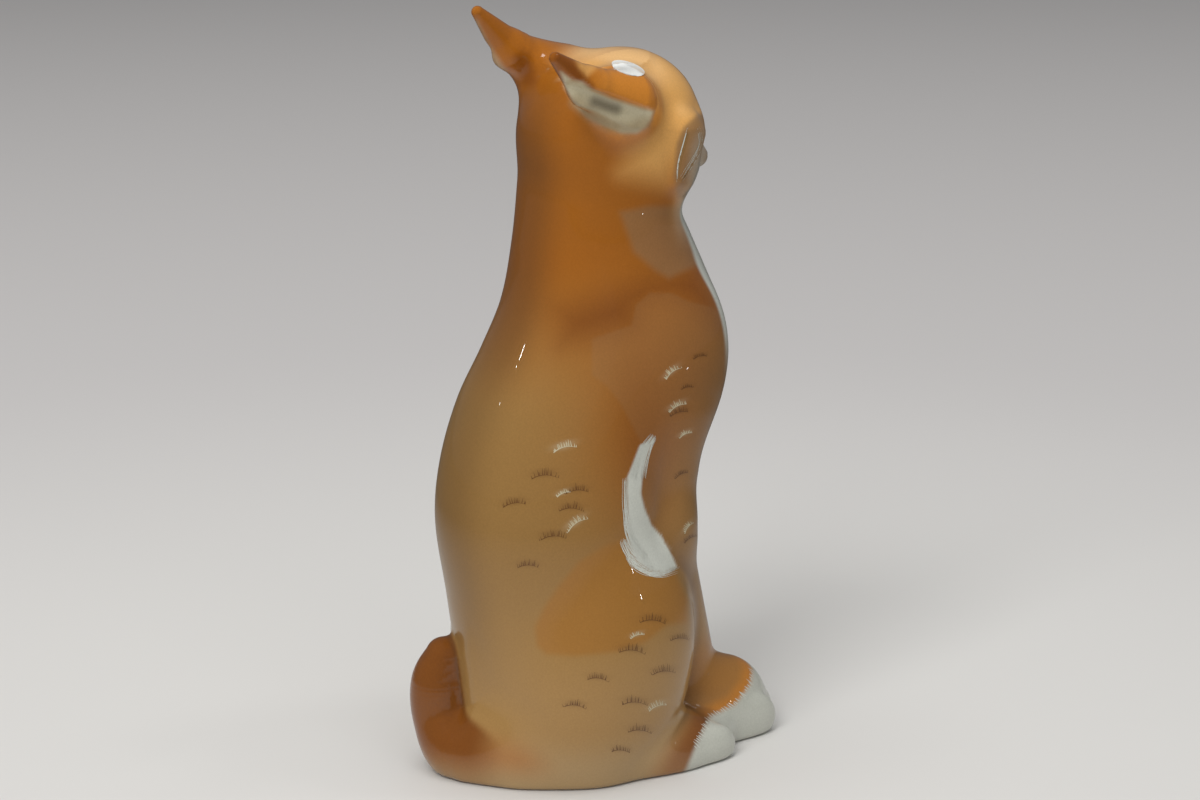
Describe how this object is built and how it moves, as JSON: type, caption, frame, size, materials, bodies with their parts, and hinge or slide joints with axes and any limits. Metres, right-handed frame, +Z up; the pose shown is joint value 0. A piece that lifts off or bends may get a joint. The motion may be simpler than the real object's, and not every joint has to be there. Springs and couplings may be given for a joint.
{
  "type": "sitting lynx figurine",
  "caption": "Sitting lynx figure in glazed porcelain with swept-back ears, cheek ruff, bobbed tail and brush-painted fur, standing on a flat foot.",
  "frame": {"origin": "on the resting plane, under the middle of the trunk", "axes": "+Z up, the lynx looks along -Y, its left side is +X"},
  "size_m": [0.0634, 0.0948, 0.1901],
  "materials": {
    "tan_glaze": "clear gloss glaze over airbrushed tan",
    "orange_glaze": "clear gloss glaze over airbrushed orange",
    "white_glaze": "clear gloss glaze on white porcelain",
    "rust_glaze": "clear gloss glaze over airbrushed rust brown"
  },
  "bodies": {
    "root": {"body_shell": "tan_glaze", "head_shell": "orange_glaze", "ear_right": "orange_glaze", "ear_left": "orange_glaze", "foreleg_right": "tan_glaze", "foreleg_left": "tan_glaze", "hind_paw_right": "white_glaze", "hind_paw_left": "white_glaze", "tail": "rust_glaze"}
  },
  "joints": []
}
